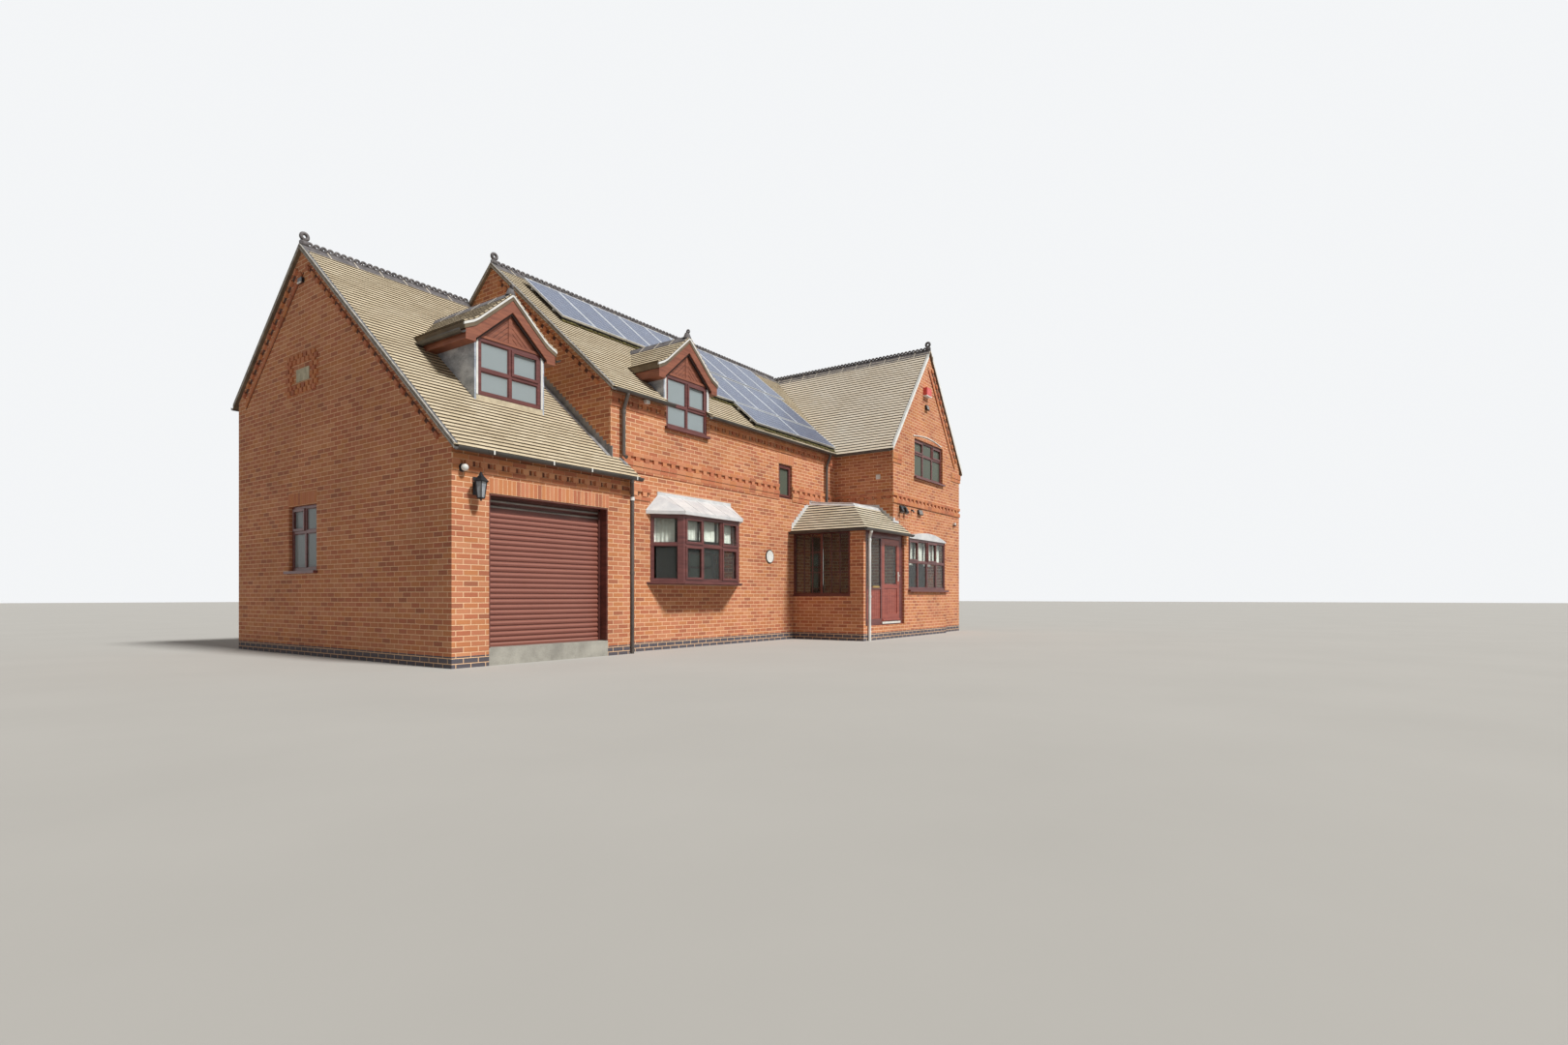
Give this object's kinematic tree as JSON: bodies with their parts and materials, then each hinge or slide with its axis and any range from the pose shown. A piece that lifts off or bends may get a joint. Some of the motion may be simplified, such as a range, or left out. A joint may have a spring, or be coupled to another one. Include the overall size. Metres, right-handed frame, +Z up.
{
  "type": "detached house",
  "caption": "Detached brick house with a garage range, cross wing, dormers, canted bay and a hipped porch whose door swings.",
  "frame": {"origin": "middle of the bounding box in plan, at the lowest ground the walls run down to", "axes": "+X along the front from the garage to the cross wing, +Y from the front to the back, +Z up"},
  "size_m": [15.112, 8.894, 7.71],
  "materials": {
    "red_brick": "matt clay facing brick with pale mortar",
    "concrete": "floated concrete",
    "floor_boards": "plain boards",
    "roof_tile": "weathered sandy plain tile",
    "ridge_clay": "dark clay ridge",
    "lead_sheet": "dull grey lead",
    "terracotta_board": "satin boards",
    "black_plastic": "satin black",
    "solar_glass": "glossy dark blue cells",
    "roller_steel": "satin brown slats",
    "rosewood_frame": "rosewood foil, satin",
    "window_glass": "clear",
    "brass": "polished",
    "white_plastic": "satin white",
    "black_metal": "satin black",
    "plaque_stone": "dressed stone"
  },
  "bodies": {
    "house": {"ground_floor": "concrete", "first_floor": "floor_boards", "garage_front_wall": "red_brick", "garage_left_wall": "red_brick", "main_left_gable": "red_brick", "main_front_wall": "red_brick", "back_wall": "red_brick", "wing_left_wall": "red_brick", "wing_front_wall": "red_brick", "wing_right_wall": "red_brick", "wing_back_wall": "red_brick", "porch_walls": "red_brick", "flat_bay_base": "red_brick", "garage_roof": "roof_tile", "main_roof": "roof_tile", "wing_roof": "roof_tile", "porch_roof": "roof_tile", "dormer_cheeks": "lead_sheet", "dormer_roofs": "roof_tile", "dormer_gables": "terracotta_board", "dormer_boards": "terracotta_board", "ridge_tiles": "ridge_clay", "gutters": "black_plastic", "downpipes": "black_plastic", "solar_panels": "solar_glass", "roller_door": "roller_steel", "canted_bay_frame": "rosewood_frame", "canted_bay_glass": "window_glass", "canted_bay_canopy": "lead_sheet", "flat_bay_frame": "rosewood_frame", "flat_bay_glass": "window_glass", "flat_bay_canopy": "lead_sheet", "window_frames": "rosewood_frame", "window_glass": "window_glass", "window_sills": "rosewood_frame", "porch_frames": "rosewood_frame", "porch_glass": "window_glass", "alarm_box": "white_plastic", "wall_lanterns": "black_metal", "white_fittings": "white_plastic", "stone_plaque": "plaque_stone"},
    "porch_door": {"porch_door": "rosewood_frame", "door_glass": "window_glass", "door_handle": "brass"}
  },
  "joints": [
    {"name": "porch_door_hinge", "type": "hinge", "parent": "house", "child": "porch_door", "pos_m": [2.17, -4.116, 0.4], "axis": [0, 0, 1], "range_deg": [0, 90]}
  ]
}
